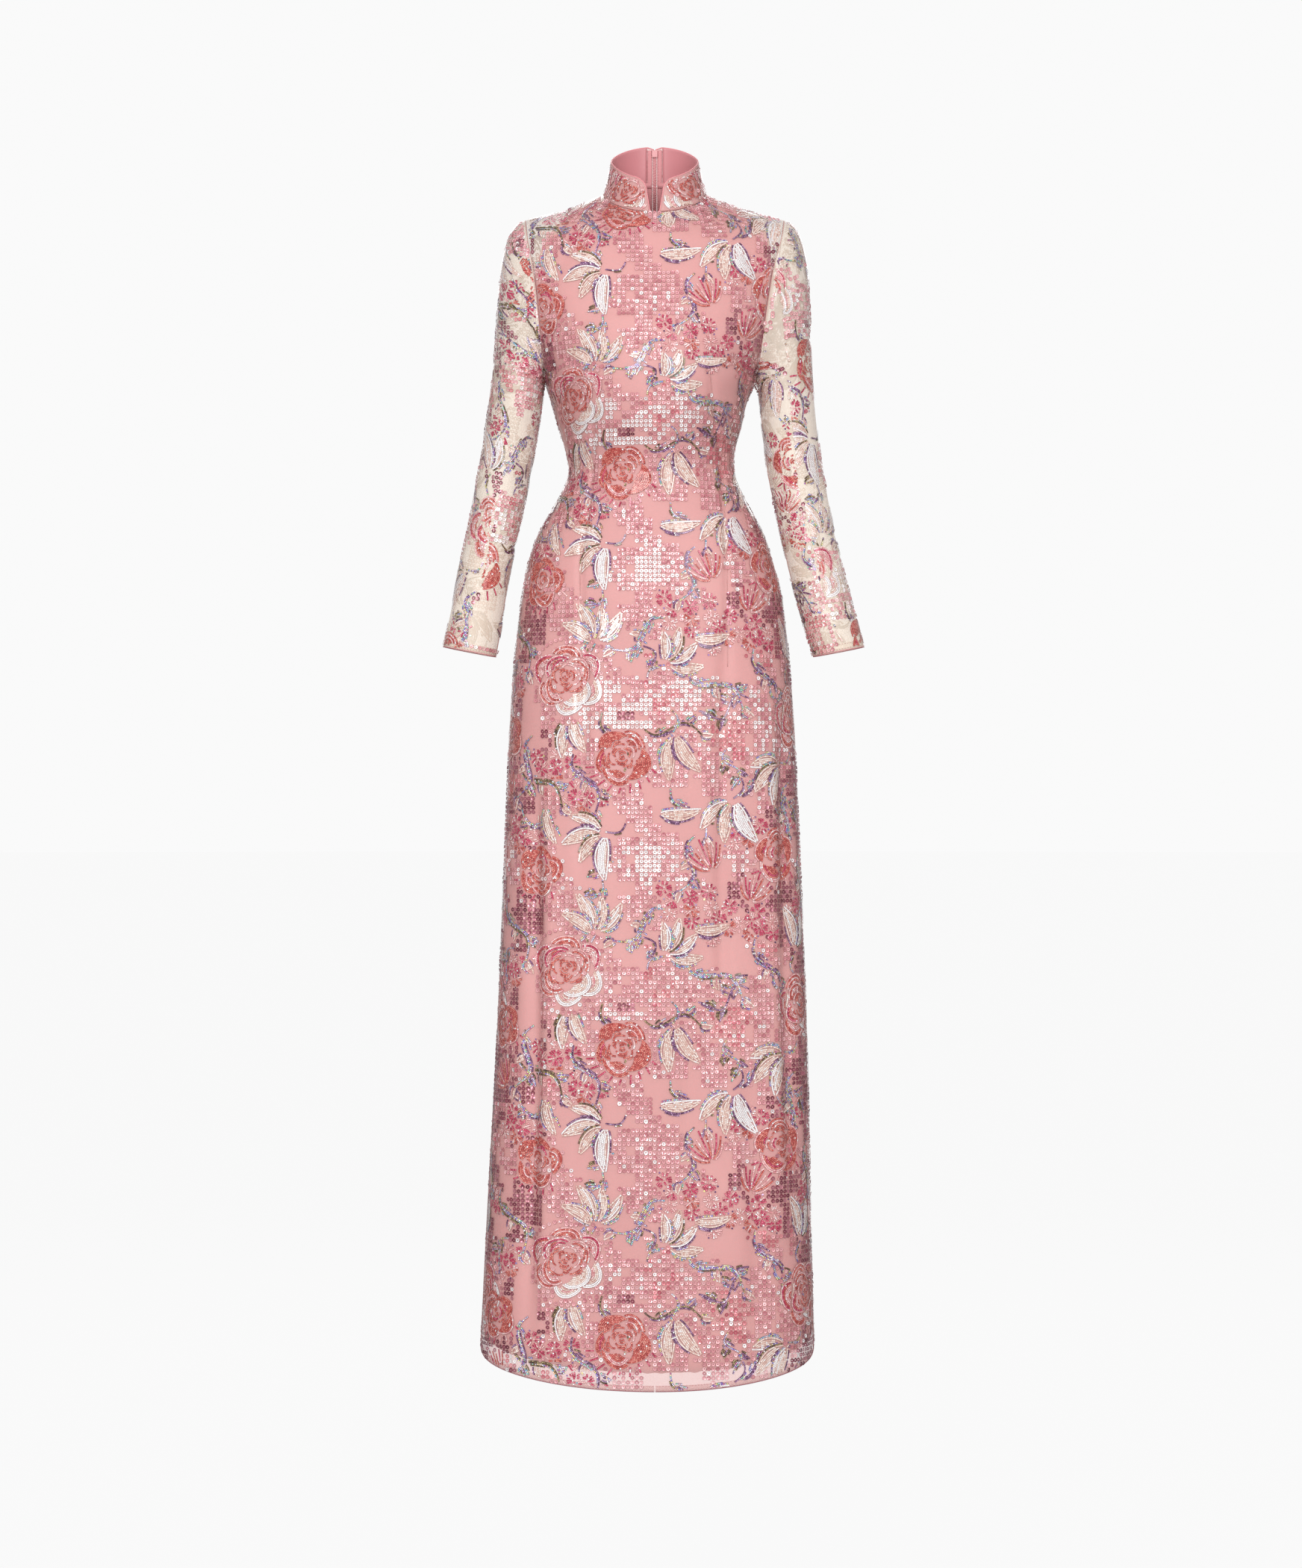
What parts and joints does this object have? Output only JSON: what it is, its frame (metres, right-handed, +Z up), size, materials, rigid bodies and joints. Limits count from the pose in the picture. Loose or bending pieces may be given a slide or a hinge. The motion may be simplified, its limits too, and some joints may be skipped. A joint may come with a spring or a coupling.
{
  "type": "ao dai tunic",
  "caption": "Long-sleeved ankle-length tunic with a stand collar and side slits: sequinned net over a halter-cut opaque lining, closed by a back zip.",
  "frame": {"origin": "middle of the neck at its base, level with the shoulder ends of the neckline", "axes": "+Z up the worn garment, -Y out of the front, +X to the wearer's left"},
  "size_m": [0.5179, 0.2667, 1.5225],
  "materials": {
    "net": "sheer nude net embroidered with floral sequins and beads",
    "lining": "dusty pink satin-faced lining, low sheen",
    "zip_tape": "woven pink tape",
    "zip_coil": "pink nylon coil",
    "zip_metal": "pink enamel, satin"
  },
  "bodies": {
    "tunic": {"front_panel": "net", "back_panel_left": "net", "back_panel_right": "net", "sleeve_left": "net", "sleeve_right": "net", "collar_left": "net", "collar_right": "net", "collar_lining_left": "lining", "collar_lining_right": "lining", "lining_front": "lining", "lining_back_left": "lining", "lining_back_right": "lining", "zip_tape_left": "zip_tape", "zip_tape_right": "zip_tape", "zip_coil": "zip_coil", "zip_slider": "zip_metal"},
    "pull_tab": {"zip_pull_tab": "zip_metal"}
  },
  "joints": [
    {"name": "pull_tab_hinge", "type": "hinge", "parent": "tunic", "child": "pull_tab", "pos_m": [0, 0.05355, 0.06187], "axis": [1, 0, 0], "range_deg": [0, 170]}
  ]
}
